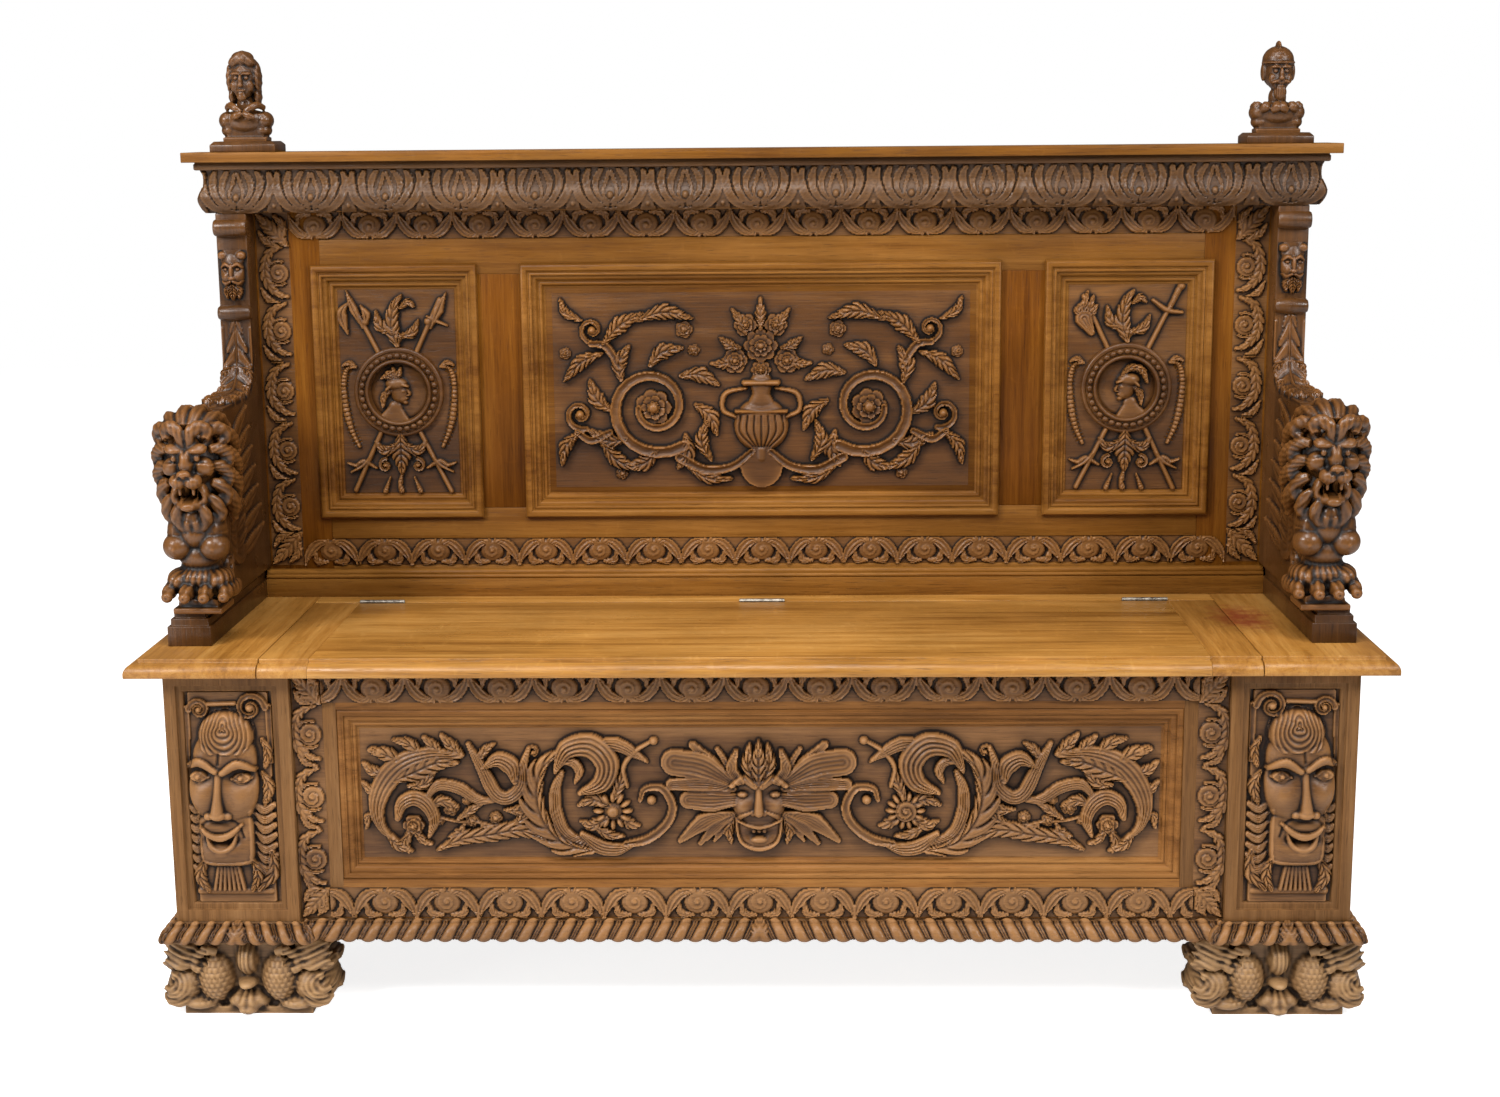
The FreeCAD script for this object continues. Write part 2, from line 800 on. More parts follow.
side_panel_outer = "side_outer - side_panel_recess"
side_panel_across = (f"{side_panel_outer} - side_panel_thickness", side_panel_outer)
side_groove_across = (f"{side_panel_across[0]} - groove_play", f"{side_panel_across[1]} + groove_play")
side_stiles = {
    "front": ("front_rear", "front_rear + side_stile_width"),
    "rear": ("rear - side_stile_width", "rear"),
}
side_rails = {
    "bottom": ("base_top", "base_top + side_rail_height"),
    "top": ("seat_under - side_rail_height", "seat_under"),
}
side_open_along = (side_stiles["front"][1], side_stiles["rear"][0])
side_open_up = (side_rails["bottom"][1], side_rails["top"][0])
for side_name, side in SIDES.items():
    members = []
    for place, along in side_stiles.items():
        edge = along[1] if place == "front" else along[0]
        span = (f"{edge} - groove_depth", edge) if place == "front" else (edge, f"{edge} + groove_depth")
        groove = (
            mirrored(side, side_groove_across),
            span,
            (f"{side_open_up[0]} - groove_depth", f"{side_open_up[1]} + groove_depth"),
        )
        members.append(
            board(
                f"side_stile_{place}_{side_name}",
                mirrored(side, ("side_inner", "side_outer")),
                along,
                ("base_top", "seat_under"),
                removed=[groove],
            )
        )
    for place, up in side_rails.items():
        edge = up[1] if place == "bottom" else up[0]
        span = (f"{edge} - groove_depth", edge) if place == "bottom" else (edge, f"{edge} + groove_depth")
        groove = (mirrored(side, side_groove_across), side_open_along, span)
        members.append(
            board(
                f"side_rail_{place}_{side_name}",
                mirrored(side, ("side_inner", "side_outer")),
                side_open_along,
                up,
                removed=[groove],
            )
        )
    node(f"chest_side_frame_{side_name}", group(f"side_frame_group_{side_name}", members))
    side_panel = board(
        f"chest_side_panel_{side_name}",
        mirrored(side, side_panel_across),
        (f"{side_open_along[0]} - ({panel_reach})", f"{side_open_along[1]} + {panel_reach}"),
        (f"{side_open_up[0]} - ({panel_reach})", f"{side_open_up[1]} + {panel_reach}"),
    )
    node(f"chest_side_panel_{side_name}", side_panel)

chest_back = board(
    "chest_back", ("-side_inner", "side_inner"), ("back_board_face", "rear"), ("base_top", "seat_under")
)
node("chest_back", chest_back)
chest_floor = board(
    "chest_floor", ("-side_inner", "side_inner"), ("front_rear", "back_board_face"), ("base_top", "floor_top")
)
node("chest_floor", chest_floor)


# Seat: two fixed ends and a rear strip, with the hinged lid between them

hinge_middles = ("-hinge_middle", "0", "hinge_middle")
rounded_low = "seat_thickness - edge_step"


def seat_board(name, across, along, edges):
    wide = f"({across[1]}) - ({across[0]})"
    deep = f"({along[1]}) - ({along[0]})"
    body = placed_body(f"{name}_body", across[0], along[0], "seat_under")
    lower = rectangle(body, f"{name}_lower", "XY_Plane", wide, deep)
    slab = pad(body, f"{name}_slab", lower, rounded_low)
    doc.recompute()
    bounds = slab.Shape.BoundBox

    def moulded(edge):
        on_top = edge.ZMin > bounds.ZMax - 0.01
        front = edge.YMax < bounds.YMin + 0.01
        left = "left" in edges and edge.XMax < bounds.XMin + 0.01
        right = "right" in edges and edge.XMin > bounds.XMax - 0.01
        return on_top and (front or left or right)

    dressed(body, "Fillet", f"{name}_ovolo", slab, moulded, "Radius", "edge_radius")
    inset = "(edge_radius + edge_ledge)"
    left_inset = inset if "left" in edges else "0"
    right_inset = inset if "right" in edges else "0"
    upper = rectangle(
        body,
        f"{name}_upper",
        "XY_Plane",
        f"{wide} - {left_inset} - {right_inset}",
        f"{deep} - {inset}",
        (left_inset, inset, rounded_low),
    )
    pad(body, f"{name}_top", upper, "edge_step")
    return body


for side_name, side in SIDES.items():
    across = mirrored(side, ("half_lid + lid_gap", "half_seat"))
    seat_end = seat_board(f"seat_end_{side_name}", across, ("seat_front", "rear"), side_name)
    node(f"seat_end_{side_name}", seat_end)

notch_up = ("hinge_height - hinge_notch", "seat_height")
leaf_up = ("hinge_height - hinge_notch - hinge_leaf_height", "hinge_height - hinge_notch")


def hinge_housings(edge, way):
    # a housing for each leaf in the edge of the board, and a notch above it for the knuckles
    housings = []
    for middle in hinge_middles:
        across = (f"{middle} - hinge_length / 2 - joint_play", f"{middle} + hinge_length / 2 + joint_play")
        leaf_end = "hinge_leaf_thickness + joint_play"
        notch_end = "hinge_notch - lid_gap / 2"
        leaf = (edge, f"{edge} + {leaf_end}") if way > 0 else (f"{edge} - ({leaf_end})", edge)
        notch = (edge, f"{edge} + {notch_end}") if way > 0 else (f"{edge} - ({notch_end})", edge)
        housings.append((across, leaf, (f"{leaf_up[0]} - joint_play", "seat_height")))
        housings.append((across, notch, notch_up))
    return housings


strip_front = "hinge_line + lid_gap / 2"
rear_strip = board(
    "seat_rear_strip",
    ("-half_lid - lid_gap", "half_lid + lid_gap"),
    (strip_front, "rear"),
    ("seat_under", "seat_height"),
    removed=hinge_housings(strip_front, 1),
)
node("seat_rear_strip", rear_strip)

lid_rear = "hinge_line - lid_gap / 2"
lid_blank = seat_board("lid_board", ("-lid_core", "lid_core"), ("seat_front", lid_rear), "")
lid_housings = [box(f"lid_housing_{n}", *spans) for n, spans in enumerate(hinge_housings(lid_rear, -1))]
node("lid_board", without("lid_board", lid_blank, lid_housings))
cleats = []
for side_name, side in SIDES.items():
    across = mirrored(side, ("lid_core", "half_lid"))
    cleats.append(seat_board(f"lid_cleat_{side_name}", across, ("seat_front", lid_rear), ""))
node("lid_cleats", group("lid_cleats_group", cleats))


# Hinges: three butt hinges, the knuckles of the fixed leaves outside those of the lid leaves

KNUCKLES = 3  # in each hinge


def butt_leaf(middle, way, own):
    start = middle - at.hinge_length / 2
    share = at.hinge_length / KNUCKLES
    near = at.hinge_line + way * at.lid_gap / 2
    far = near + way * at.hinge_leaf_thickness
    low = at.hinge_height - at.hinge_notch - at.hinge_leaf_height
    plate_top = at.hinge_height - at.hinge_notch
    front = min(near, far)
    thick = at.hinge_leaf_thickness
    plate = Part.makeBox(at.hinge_length, thick, at.hinge_leaf_height, vector(start, front, low))
    pieces = [plate]
    for n in own:
        left = start + n * share + at.hinge_knuckle_gap / 2
        long = share - at.hinge_knuckle_gap
        tall = at.hinge_height - plate_top
        pieces.append(Part.makeBox(long, thick, tall, vector(left, front, plate_top)))
        pieces.append(rod(left, at.hinge_line, at.hinge_height, at.hinge_knuckle_radius, long, 12))
    whole = joined(pieces)
    bore_radius = at.hinge_pin_radius + at.hinge_pin_play
    return whole.cut(rod(start - 1, at.hinge_line, at.hinge_height, bore_radius, at.hinge_length + 2))


hinge_centres = (-at.hinge_middle, 0, at.hinge_middle)
fixed_leaves = [butt_leaf(middle, 1, range(0, KNUCKLES, 2)) for middle in hinge_centres]
lid_leaves = [butt_leaf(middle, -1, range(1, KNUCKLES, 2)) for middle in hinge_centres]
pin_flats = at.hinge_pin_radius * math.cos(math.pi / 16)
pins = [
    rod(middle - at.hinge_length / 2, at.hinge_line, at.hinge_height, pin_flats, at.hinge_length)
    for middle in hinge_centres
]
node("hinge_leaves_fixed", feature("hinge_leaves_fixed", Part.makeCompound(fixed_leaves)))
node("hinge_leaves_lid", feature("hinge_leaves_lid", Part.makeCompound(lid_leaves)))
node("hinge_pins", feature("hinge_pins", Part.makeCompound(pins)))


# Back: stiles, rails and muntins with tenons, three panels in grooves, a sunk band for the carving

back_tenon_along = ("rear - back_tenon_cover - tenon_thickness", "rear - back_tenon_cover")
back_mortise_along = (f"{back_tenon_along[0]} - joint_play", f"{back_tenon_along[1]} + joint_play")
back_panel_along = ("back_panel_face", "back_panel_face + back_panel_thickness")
back_groove_along = (f"{back_panel_along[0]} - groove_play", f"{back_panel_along[1]} + groove_play")
back_openings = {
    "left": ("-stile_inner", "-muntin_outer"),
    "centre": ("-half_centre", "half_centre"),
    "right": ("muntin_outer", "stile_inner"),
}
back_rails = {
    "bottom": ("seat_height", "opening_low"),
    "top": ("opening_high", "back_top"),
}
rail_tenons = {
    "bottom": ("seat_height + tenon_shoulder", "opening_low - tenon_shoulder"),
    "top": ("opening_high + tenon_shoulder", "back_top - tenon_shoulder"),
}
muntin_span = ("half_centre + tenon_shoulder", "muntin_outer - tenon_shoulder")
band_up = {
    "bottom": ("plinth_top", "plinth_top + band_width"),
    "top": ("frieze_low - band_width", "frieze_low"),
}
for place, up in back_rails.items():
    edge = up[1] if place == "bottom" else up[0]
    tenons = [
        (mirrored(side, ("stile_inner", "stile_inner + tenon_length")), back_tenon_along, rail_tenons[place])
        for side in SIDES.values()
    ]
    depth_span = {
        "bottom": (f"{edge} - tenon_length - 1", edge),
        "top": (edge, f"{edge} + tenon_length + 1"),
    }[place]
    groove_span = {
        "bottom": (f"{edge} - groove_depth", edge),
        "top": (edge, f"{edge} + groove_depth"),
    }[place]
    hollows = [
        (
            mirrored(side, (f"{muntin_span[0]} - joint_play", f"{muntin_span[1]} + joint_play")),
            back_mortise_along,
            depth_span,
        )
        for side in SIDES.values()
    ]
    hollows.append((("-stile_inner", "stile_inner"), back_groove_along, groove_span))
    hollows.append((("-stile_inner", "stile_inner"), ("back_face", "back_face + band_depth"), band_up[place]))
    rail = board(
        f"back_{place}_rail",
        ("-stile_inner", "stile_inner"),
        ("back_face", "rear"),
        up,
        added=tenons,
        removed=hollows,
    )
    node(f"back_{place}_rail", rail)

for side_name, side in SIDES.items():
    hollows = [
        (
            mirrored(side, ("stile_inner", "stile_inner + tenon_length + 1")),
            back_mortise_along,
            (f"{low} - joint_play", f"{high} + joint_play"),
        )
        for low, high in rail_tenons.values()
    ]
    hollows.append(
        (
            mirrored(side, ("stile_inner", "stile_inner + groove_depth")),
            back_groove_along,
            ("opening_low - groove_depth", "opening_high + groove_depth"),
        )
    )
    stile = board(
        f"back_stile_{side_name}",
        mirrored(side, ("stile_inner", "half_back")),
        ("back_face", "rear"),
        ("seat_height", "back_top"),
        removed=hollows,
    )
    node(f"back_stile_{side_name}", stile)

muntins = []
for side_name, side in SIDES.items():
    across = mirrored(side, ("half_centre", "muntin_outer"))
    tenon_across = mirrored(side, muntin_span)
    tenons = [
        (tenon_across, back_tenon_along, ("opening_low - tenon_length", "opening_low")),
        (tenon_across, back_tenon_along, ("opening_high", "opening_high + tenon_length")),
    ]
    groove_spans = [("half_centre", "half_centre + groove_depth"), ("muntin_outer - groove_depth", "muntin_outer")]
    grooves = [
        (mirrored(side, span), back_groove_along, ("opening_low", "opening_high")) for span in groove_spans
    ]
    muntins.append(
        board(
            f"back_muntin_{side_name}",
            across,
            ("back_face", "rear"),
            ("opening_low", "opening_high"),
            added=tenons,
            removed=grooves,
        )
    )
node("back_muntins", group("back_muntins_group", muntins))

for place, (start, end) in back_openings.items():
    panel = board(
        f"back_panel_{place}",
        (f"{start} - ({panel_reach})", f"{end} + {panel_reach}"),
        back_panel_along,
        (f"opening_low - ({panel_reach})", f"opening_high + {panel_reach}"),
    )
    node(f"back_panel_{place}", panel)

lap, wide, rise = at.bolection_lap, at.bolection_width, at.bolection_rise
sunk = at.back_panel_recess
bolection = outline(
    (0, 0),
    (0, 0.78 * rise),
    ((0.42 * lap, rise), (0.85 * lap, 0.78 * rise)),
    (0.85 * lap, 0.5 * rise),
    (lap + 2, 0.5 * rise),
    (lap + 2, 0.22 * rise),
    ((0.6 * wide, 0.12 * rise), (0.72 * wide, -0.3 * sunk)),
    (0.84 * wide, -0.3 * sunk),
    (wide, -0.86 * sunk),
    (wide, -sunk),
    (lap + at.joint_play, -sunk),
    (lap + at.joint_play, 0),
    (0, 0),
)
edges_of_opening = {
    "left": (-at.stile_inner, -at.muntin_outer),
    "centre": (-at.half_centre, at.half_centre),
    "right": (at.muntin_outer, at.stile_inner),
}
for place, (start, end) in edges_of_opening.items():
    low, high = at.opening_low - lap, at.opening_high + lap
    loop = [(start - lap, low), (start - lap, high), (end + lap, high), (end + lap, low)]
    lengths = mitred_run(bolection, loop, (0, wide + 1), closed=True)
    moulding = upright(Part.makeCompound(lengths), at.back_face)
    node(f"panel_moulding_{place}", feature(f"panel_moulding_{place}", moulding))


# Skirting behind the seat and a stepped plinth under each arm

skirt_low, skirt_high = at.seat_height, at.seat_height + at.skirting_height
skirt_plain = skirt_high - at.skirting_moulding
thick = at.skirting_thickness
skirting_profile = outline(
    (0, skirt_low),
    (thick, skirt_low),
    (thick, skirt_plain),
    (thick - 3, skirt_plain),
    ((thick - 1, skirt_plain + 3), (thick - 3, skirt_plain + 6)),
    (thick - 5, skirt_plain + 6),
    ((thick - 5, skirt_high - 3), (thick - 8, skirt_high)),
    (0, skirt_high),
    (0, skirt_low),
)
skirting_run = mitred_run(
    skirting_profile, [(-at.plinth_inner, at.back_face), (at.plinth_inner, at.back_face)], (0, thick + 1)
)
node("skirting", feature("skirting", skirting_run[0]))

for side_name, side in SIDES.items():
    plain_top = "seat_height + skirting_height - skirting_moulding"
    levels = ("seat_height", plain_top, "plinth_top - plinth_cap", "plinth_top")
    tiers = []
    for n in range(3):
        inset = f"{n} * plinth_step"
        tiers.append(
            box(
                f"arm_plinth_tier_{side_name}_{n}",
                mirrored(side, (f"plinth_inner + {inset}", f"plinth_outer - {inset}")),
                (f"plinth_front + {inset}", "back_face"),
                (levels[n], levels[n + 1]),
            )
        )
    node(f"arm_plinth_{side_name}", fused(f"arm_plinth_{side_name}", tiers))


# Arms: a plank cut to the outline of a scrolled strap that sweeps down and forward into a winged lion

def wing(side, rear, low, high):
    # feathers on the inner face of the plank, their tips at the back
    length, reach = at.wing_length, rear - at.wing_rear_gap
    feathers = []
    for n in range(4):
        z = high - (n + 0.5) * (high - low) / 4
        long = length * (1 - 0.13 * n)
        feathers.append(leaf(reach - long, 0, z - 0.16 * long, long, (high - low) / 2.6, at.wing_rise, 10))
    shoulder = boss(reach - 0.86 * length, 0, (low + high) / 2, 0.24 * length, at.wing_rise, (high - low) / 2)
    feathers.append(shoulder)
    placed = []
    for feather in feathers:
        if side > 0:
            feather = feather.mirror(vector(0, 0, 0), vector(1, 0, 0))
        feather.rotate(vector(0, 0, 0), vector(0, 0, 1), -side * 90)
        feather.translate(vector(-side * at.arm_thickness / 2, 0, 0))
        placed.append(feather)
    return placed


def arm(side):
    rear, foot, top = at.back_face, at.plinth_top, at.frieze_low
    strap = rear - at.arm_strap_depth
    level = at.seat_height + at.arm_top
    bend = at.arm_strap_bend
    front = rear - at.arm_front_depth
    half = at.arm_thickness / 2
    quarter = bend * (1 - math.sqrt(0.5))
    edge = [
        Part.LineSegment(vector(0, rear, foot), vector(0, rear, top)),
        Part.LineSegment(vector(0, rear, top), vector(0, strap, top)),
        Part.LineSegment(vector(0, strap, top), vector(0, strap, level + bend)),
        Part.Arc(
            vector(0, strap, level + bend),
            vector(0, strap - quarter, level + quarter),
            vector(0, strap - bend, level),
        ),
        Part.LineSegment(vector(0, strap - bend, level), vector(0, front, level)),
        Part.LineSegment(vector(0, front, level), vector(0, front + at.arm_front_lean, foot)),
        Part.LineSegment(vector(0, front + at.arm_front_lean, foot), vector(0, rear, foot)),
    ]
    face = Part.Face(Part.Wire([piece.toShape() for piece in edge]))
    plank = face.extrude(vector(2 * half, 0, 0))
    plank.translate(vector(-half, 0, 0))
    pieces = [plank]
    for drop, radius in ((at.arm_scroll_drop, at.arm_scroll_radius), (at.arm_ring_drop, at.arm_ring_radius)):
        roll = disc(0, 0, 0, radius, 2 * half + 2, 1)
        roll.rotate(vector(0, 0, 0), vector(0, 0, 1), 90)
        roll.translate(vector(-half - 1, strap + 0.25 * radius, top - drop))
        pieces.append(roll)
    mask_drop = (at.arm_scroll_drop + at.arm_ring_drop) / 2
    mask_half = (at.arm_ring_drop - at.arm_scroll_drop) / 2 - at.arm_scroll_radius
    pieces.append(boss(0, strap, top - mask_drop, 0.8 * half, at.arm_mask_rise, mask_half))
    pieces.extend(wing(side, rear, foot + 0.14 * (level - foot), foot + 0.74 * (level - foot)))
    pieces.extend(lion(front, foot, level))
    return joined(pieces)


def lion(front, foot, level):
    wide, tall, deep = at.lion_head_width / 2, at.lion_head_height / 2, at.lion_head_depth / 2
    head_y = front - 0.24 * deep
    head_z = level + at.lion_crown_rise - 1.1 * tall
    muzzle = at.lion_muzzle_radius
    paw_low = foot + at.lion_pad_height
    paw_top = paw_low + at.lion_paw_height
    paw_half, paw_deep = at.lion_paw_width / 2, at.lion_paw_depth / 2
    toe, breast = at.lion_toe_radius, at.lion_breast_radius
    breast_z = at.seat_height + at.lion_breast_height
    pieces = [
        gem(0, head_y + 0.3 * deep, head_z, wide, deep, 1.1 * tall),
        gem(0, head_y - 0.36 * deep, head_z - 0.1 * tall, 0.8 * wide, 0.7 * deep, 0.86 * tall),
        gem(0, head_y - 0.85 * deep, head_z - 0.4 * tall, muzzle, 0.8 * muzzle, 0.74 * muzzle, 6),
        gem(0, head_y - 0.3 * deep, head_z - tall, 0.62 * wide, 0.6 * deep, 0.42 * tall),
    ]
    sections = (
        (paw_low + 2, 0.9 * paw_half, paw_deep),
        (paw_low + 0.5 * at.lion_paw_height, 0.86 * paw_half, 0.9 * paw_deep),
        (paw_top, at.lion_waist_width / 2, 0.7 * paw_deep),
        (breast_z - breast, 0.8 * wide, 0.84 * paw_deep),
        (breast_z + breast, 0.88 * wide, 0.96 * paw_deep),
        (breast_z + 3 * breast, 0.7 * wide, 0.7 * paw_deep),
    )
    pieces.append(lofted(0, front + 4, sections))
    for way in (-1, 1):
        pieces.append(gem(way * (breast - 1), front - 0.84 * breast, breast_z, breast, breast, breast, 6))
        ear_x, ear_z = way * 0.86 * wide, head_z + 0.6 * tall
        pieces.append(gem(ear_x, head_y, ear_z, 0.2 * wide, 0.2 * deep, 0.24 * tall, 6))
    for n in range(4):
        x = (n - 1.5) * 2 * (paw_half - toe) / 3
        pieces.append(gem(x, front - 0.76 * paw_deep, paw_low + toe, toe, 1.4 * toe, toe, 6))
    pad_wide, pad_deep = 1.6 * paw_half, 1.8 * paw_deep
    pad_corner = vector(-pad_wide / 2, front - 0.78 * paw_deep, foot)
    pieces.append(Part.makeBox(pad_wide, pad_deep, at.lion_pad_height + 4, pad_corner))
    return pieces


for side_name, side in SIDES.items():
    carved = arm(side)
    carved.translate(vector(side * at.arm_middle, 0, 0))
    node(f"arm_{side_name}", feature(f"arm_{side_name}", carved))


# Cornice: a core on the face of the back, the carved frieze moulding round it and the shelf on top

core = board(
    "cornice_core", ("-half_back", "half_back"), ("core_face", "back_face"), ("frieze_low", "back_top")
)
node("cornice_core", core)
out, low, high = at.frieze_projection, at.frieze_low, at.back_top
fillet_low = high - at.frieze_fillet
frieze_profile = outline(
    (0, low),
    (0.45 * out, low),
    (0.72 * out, low + 0.1 * at.frieze_height),
    (0.76 * out, low + 0.24 * at.frieze_height),
    (0.56 * out, low + 0.45 * at.frieze_height),
    (0.44 * out, low + 0.66 * at.frieze_height),
    (0.6 * out, fillet_low),
    (out, fillet_low),
    (out, high),
    (0, high),
    (0, low),
)
frieze_line = [
    (-at.half_back, at.rear),
    (-at.half_back, at.core_face),
    (at.half_back, at.core_face),
    (at.half_back, at.rear),
]
frieze = mitred_run(frieze_profile, frieze_line, (0, out + 1))
node("cornice_moulding", feature("cornice_moulding", Part.makeCompound(frieze)))
shelf = board(
    "cornice_shelf", ("-half_shelf", "half_shelf"), ("rear - shelf_depth", "rear"), ("back_top", "shelf_top")
)
node("cornice_shelf", shelf)


# Busts on chamfered plinths

for side_name, side in SIDES.items():
    corner = ("" if side > 0 else "-") + "bust_middle - bust_plinth_width / 2"
    name = f"bust_plinth_{side_name}"
    body = placed_body(f"{name}_body", corner, "bust_line - bust_plinth_depth / 2", "shelf_top")
    foot = rectangle(body, f"{name}_plan", "XY_Plane", "bust_plinth_width", "bust_plinth_depth")
    slab = pad(body, f"{name}_pad", foot, "bust_plinth_height")
    doc.recompute()
    high = slab.Shape.BoundBox.ZMax

    def upper(bounds):
        return bounds.ZMin > high - 0.01

    dressed(body, "Chamfer", f"{name}_chamfer", slab, upper, "Size", "bust_plinth_chamfer")
    node(name, body)


def bust(side):
    foot = at.shelf_top + at.bust_plinth_height
    tall, half, head = at.bust_height, at.bust_shoulder_width / 2, at.bust_head_width / 2
    deep = at.bust_plinth_depth / 2 - at.bust_plinth_chamfer - 1
    sections = (
        (foot, 0.8 * half, 0.8 * deep),
        (foot + 0.07 * tall, 0.86 * half, 0.86 * deep),
        (foot + 0.2 * tall, half, deep),
        (foot + 0.32 * tall, 0.9 * half, 0.9 * deep),
        (foot + 0.42 * tall, 0.4 * half, 0.5 * deep),
        (foot + 0.6 * tall, 0.36 * half, 0.46 * deep),
    )
    pieces = [lofted(0, 0, sections)]
    skull_z = foot + 0.72 * tall
    pieces.append(gem(0, -1, skull_z, head, 1.08 * head, 0.24 * tall))
    pieces.append(gem(0, 1, skull_z + 0.07 * tall, 1.08 * head, 1.16 * head, 0.17 * tall))
    if side > 0:
        pieces.append(gem(0, 0, foot + 0.9 * tall, 0.3 * head, 0.3 * head, 0.1 * tall, 6))
    else:
        pieces.append(gem(0, 0.3 * head, foot + 0.86 * tall, 0.7 * head, 0.8 * head, 0.14 * tall, 6))
    return joined(pieces)


for side_name, side in SIDES.items():
    carved = bust(side)
    carved.translate(vector(side * at.bust_middle, at.bust_line, 0))
    node(f"bust_{side_name}", feature(f"bust_{side_name}", carved))


# Roundels and trophies on the two side panels

panel_face = at.back_panel_face


def roundel(side):
    outer, inner, rise = at.roundel_radius, at.roundel_inner_radius, at.roundel_rise
    x, z = side * at.side_panel_middle, at.roundel_height
    ring = disc(x, panel_face, z, outer, 0.4 * rise, 1, 16)
    bead = disc(x, panel_face, z, 0.93 * outer, rise, 0.86, 16)
    hollow = disc(x, panel_face - 0.3 * rise, z, inner, rise, 1, 16)
    turned = ring.fuse(bead).cut(hollow)
    head = [
        boss(x, panel_face, z + 0.14 * inner, 0.4 * inner, 0.9 * rise, 0.5 * inner),
        boss(x - side * 0.06 * inner, panel_face, z + 0.44 * inner, 0.46 * inner, rise, 0.34 * inner),
        boss(x, panel_face, z - 0.6 * inner, 0.56 * inner, 0.8 * rise, 0.3 * inner),
    ]
    return joined([turned] + head)


def trophy(side):
    middle, centre = side * at.side_panel_middle, at.roundel_height
    lip = at.bolection_width - at.bolection_lap + at.trophy_margin
    above, below = at.opening_high - lip - centre, centre - at.opening_low - lip
    spread = (at.stile_inner - at.muntin_outer) / 2 - lip - at.trophy_blade_width / 2
    shaft, rise = at.trophy_shaft, at.trophy_rise
    pieces = []
    for way in (-1, 1):
        top = vector(middle + way * 0.84 * spread, panel_face, centre + above)
        foot = vector(middle - way * spread, panel_face, centre - below + shaft)
        pieces.append(bar(foot, top - (top - foot) * 0.12, shaft, rise))
        low_tip = top - (top - foot) * 0.3
        lean = math.degrees(math.atan2(top.z - foot.z, top.x - foot.x))
        blade = 0.29 * (top - foot).Length
        pieces.append(leaf(low_tip.x, panel_face, low_tip.z, blade, at.trophy_blade_width, 1.2 * rise, lean))
        ribbon_x, ribbon_z = middle + way * 1.05 * spread, centre + 0.25 * below
        pieces.append(leaf(ribbon_x, panel_face, ribbon_z, 0.85 * below, 1.4 * shaft, rise, -90 - way * 10))
    crest, drop = 0.6 * above, 0.72 * below
    pieces.append(boss(middle, panel_face, centre + crest, 0.28 * spread, 1.5 * rise, 0.16 * above))
    pieces.append(boss(middle, panel_face, centre + 0.8 * above, 0.18 * spread, 1.2 * rise, 0.14 * above))
    pieces.append(boss(middle, panel_face, centre - drop, 0.18 * spread, 1.3 * rise, 0.2 * below))
    return joined(pieces).cut(disc(middle, panel_face, centre, at.roundel_radius + 1, 4 * rise, 1, 16))


for side_name, side in SIDES.items():
    node(f"roundel_{side_name}", feature(f"roundel_{side_name}", roundel(side)))
    node(f"trophy_{side_name}", feature(f"trophy_{side_name}", trophy(side)))


# Middle panel of the back: a vase between two leafy scrolls

def centre_carving():
    middle_z = (at.opening_low + at.opening_high) / 2
    half, tall, rise = at.vase_width / 2, at.vase_height, at.vase_rise
    low = middle_z - 0.95 * tall
    turning = ((0, 0.5), (0.08, 0.5), (0.16, 0.22), (0.42, 0.86), (0.62, 1), (0.84, 0.4), (1, 0.66))
    vase = lofted(0, panel_face, [(low + step * tall, share * half, share * rise) for step, share in turning])
    room = Part.makeBox(4 * half, 2 * rise, 2 * tall, vector(-2 * half, panel_face - 2 * rise, low - 1))
    pieces = [vase.common(room)]
    radius, band = at.centre_scroll_radius, at.centre_scroll_band
    for way in (-1, 1):
        x = way * at.centre_scroll_place
        turn = 90 - way * 90
        pieces.extend(volute(x, panel_face, middle_z, radius, band, 0.7 * rise, turn, -way))
        for lean, share in ((52, 0.9), (16, 1.1), (-22, 1.05), (-58, 0.8)):
            angle = lean if way > 0 else 180 - lean
            edge = vector(math.cos(math.radians(angle)), 0, math.sin(math.radians(angle)))
            stalk_x, stalk_z = x + radius * edge.x, middle_z + radius * edge.z
            long, wide = share * radius, 0.44 * radius
            pieces.append(leaf(stalk_x, panel_face, stalk_z, long, wide, 0.6 * rise, angle))
        angle, long, wide = 90 - way * 36, 0.55 * tall, 0.6 * half
        pieces.append(leaf(way * 0.2 * half, panel_face, low + tall, long, wide, 0.9 * rise, angle))
    pieces.append(boss(0, panel_face, low + 1.3 * tall, 0.4 * half, rise, 0.32 * tall))
    return joined(pieces)


node("centre_carving", feature("centre_carving", centre_carving()))


# Chest front: a grotesque mask between leaf wings, with a flowered scroll and an outer spiral each side

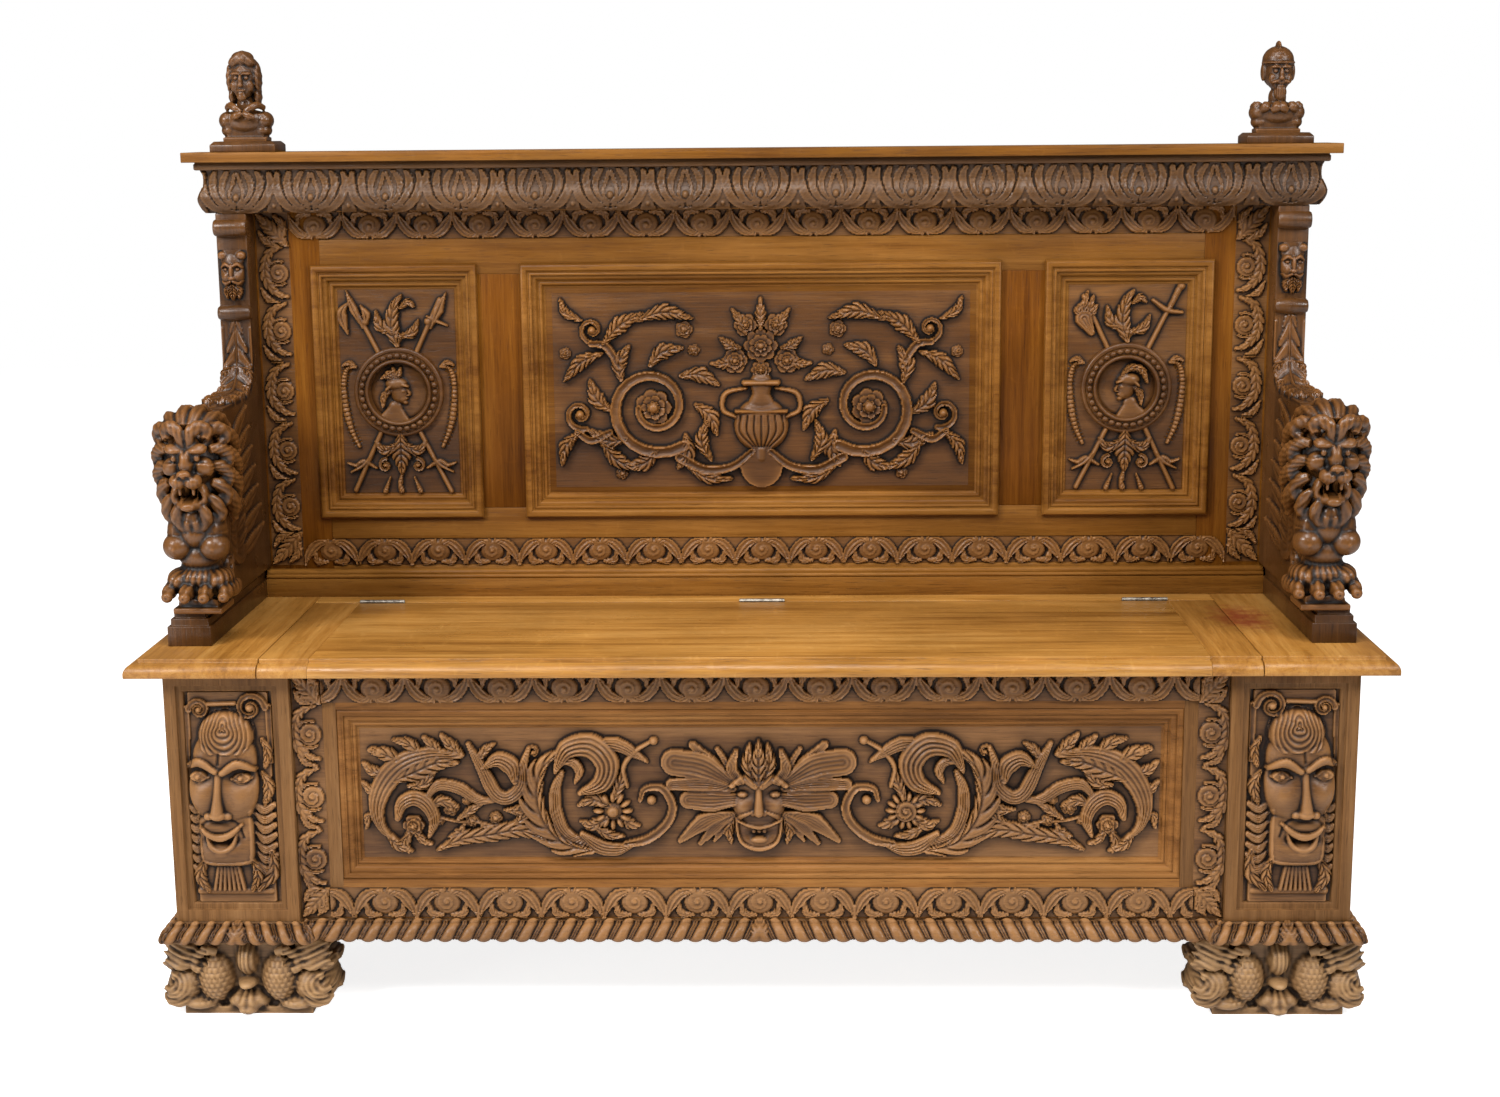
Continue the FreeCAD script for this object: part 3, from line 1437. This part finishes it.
def chest_carving():
    face = at.front_panel_face
    middle_z = (at.panel_low + at.panel_high) / 2
    tall = (at.panel_high - at.panel_low) / 2 - at.front_moulding_width
    half, rise, band = at.front_mask_width / 2, at.front_mask_rise, at.front_scroll_band
    pieces = [
        boss(0, face, middle_z, half, 0.86 * rise, 0.66 * tall),
        boss(0, face, middle_z, 0.18 * half, 1.2 * rise, 0.28 * tall, sides=6),
        boss(0, face, middle_z - 0.62 * tall, 0.6 * half, 0.8 * rise, 0.24 * tall),
    ]
    for way in (-1, 1):
        def leaning(angle):
            return angle if way > 0 else 180 - angle

        curl_x, curl_z = way * 0.54 * half, middle_z + 0.68 * tall
        pieces.append(boss(curl_x, face, curl_z, 0.4 * half, 0.8 * rise, 0.18 * tall))
        for lean, long in ((56, 0.84), (32, 1), (8, 1.02), (-16, 1.06), (-40, 0.96)):
            stalk_x, stalk_z = way * 0.7 * half, middle_z + 0.002 * lean * tall
            pieces.append(leaf(stalk_x, face, stalk_z, long * tall, 0.26 * tall, 0.4 * rise, leaning(lean)))
        x, ring = way * at.front_scroll_place, at.front_scroll_radius
        ring_z = middle_z - 0.08 * tall
        pieces.extend(volute(x, face, ring_z, ring, 1.3 * band, 0.6 * rise, leaning(60), way, 2))
        daisy, daisy_x = at.front_flower_radius, x - way * 0.6 * ring
        pieces.append(boss(daisy_x, face, middle_z - 0.3 * tall, daisy, 0.7 * rise, daisy))
        hook_x, hook_z = x + way * 0.3 * ring, middle_z + 0.1 * tall
        pieces.append(leaf(hook_x, face, hook_z, 0.76 * tall, band, 0.5 * rise, leaning(115)))
        small = (way * 0.6 * at.front_scroll_place, middle_z - 0.06 * tall)
        pieces.append(boss(small[0], face, small[1], 0.8 * daisy, 0.6 * rise, 0.8 * daisy))
        outer_x, outer_ring = way * at.front_outer_scroll_place, at.front_outer_scroll_radius
        outer_z = middle_z - 0.42 * tall
        pieces.extend(volute(outer_x, face, outer_z, outer_ring, band, 0.5 * rise, leaning(180), -way, 2))
        loop_x = way * (at.front_scroll_place + at.front_outer_scroll_place) / 2
        pieces.append(half_ring(loop_x, face, middle_z + 0.46 * tall, 0.5 * tall, band, 0.5 * rise, 180, 1))
        frond_x = outer_x - way * 0.3 * outer_ring
        fronds = ((outer_x, 0.3, 1, 0.3, 98), (outer_x, 0.6, 0.9, 0.3, 145), (frond_x, -0.34, 1.7, 0.2, 170))
        for stalk_x, up, long, wide, lean in fronds:
            stalk_z = outer_z + up * tall
            pieces.append(leaf(stalk_x, face, stalk_z, long * tall, wide * tall, 0.4 * rise, leaning(lean)))
    return joined(pieces)


node("chest_front_carving", feature("chest_front_carving", chest_carving()))


# Masks on the piers: volutes and a bar above a long-jawed face, with a plaited band down each side

def pier_mask(side):
    face = at.pier_face + at.pier_recess
    low = at.mask_low
    tall, half = at.mask_high - low, at.mask_width / 2
    rise, plate = at.mask_face_rise, at.mask_plate_rise
    face_half, face_tall = at.mask_face_width / 2, at.mask_face_height / 2
    roll = at.mask_volute_radius
    roll_z = low + tall - roll
    face_z = low + 0.56 * tall
    pieces = [
        Part.makeBox(2 * half, plate, 0.5 * tall, vector(-half, face - plate, low)),
        Part.makeBox(1.5 * half, plate, 0.45 * tall, vector(-0.75 * half, face - plate, low + 0.5 * tall)),
        boss(0, face, face_z, face_half, 0.8 * rise, face_tall),
        boss(side * 0.1 * face_half, face, face_z, 0.3 * face_half, rise, 0.46 * face_tall, sides=6),
        boss(0, face, low + 0.27 * tall, 0.9 * face_half, 0.7 * rise, 0.18 * tall),
        boss(0, face, low + 0.8 * tall, 0.74 * face_half, 0.66 * rise, 0.13 * tall),
    ]
    for way in (-1, 1):
        x = way * (half - roll)
        pieces.append(disc(x, face, roll_z, roll, at.mask_volute_rise))
        brow_x, brow_z = way * 0.5 * face_half, face_z + 0.3 * face_tall
        pieces.append(boss(brow_x, face, brow_z, 0.3 * face_half, 0.9 * rise, 0.1 * face_tall, sides=6))
        for n in range(3):
            z = low + (0.07 + 0.13 * n) * tall
            pieces.append(boss(way * 0.86 * half, face, z, 0.14 * half, 1.8 * plate, 0.055 * tall, sides=6))
    pieces.append(Part.makeBox(2 * (half - roll), 0.6 * at.mask_volute_rise, 0.6 * roll))
    pieces[-1].translate(vector(roll - half, face - 0.6 * at.mask_volute_rise, roll_z))
    return joined(pieces)


for side_name, side in SIDES.items():
    carved = pier_mask(side)
    carved.translate(vector(side * at.pier_middle, 0, 0))
    node(f"pier_mask_{side_name}", feature(f"pier_mask_{side_name}", carved))


# Checks and files

doc.recompute()
for thing in doc.Objects:
    if "Invalid" in thing.State or "Error" in thing.State:
        raise ValueError(f"{thing.Name} failed: {thing.State}")

os.makedirs("parts", exist_ok=True)
for label, thing in sorted(nodes.items()):
    shape = thing.Shape
    if shape.isNull() or not shape.isValid() or not shape.Solids:
        raise ValueError(f"{label} has no valid solid")
    shape.exportStep(f"parts/{label}.step")
    print(f"{label}: {len(shape.Solids)} solid(s), {shape.Volume / 1000:.1f} cm3")
print(f"{len(nodes)} nodes")
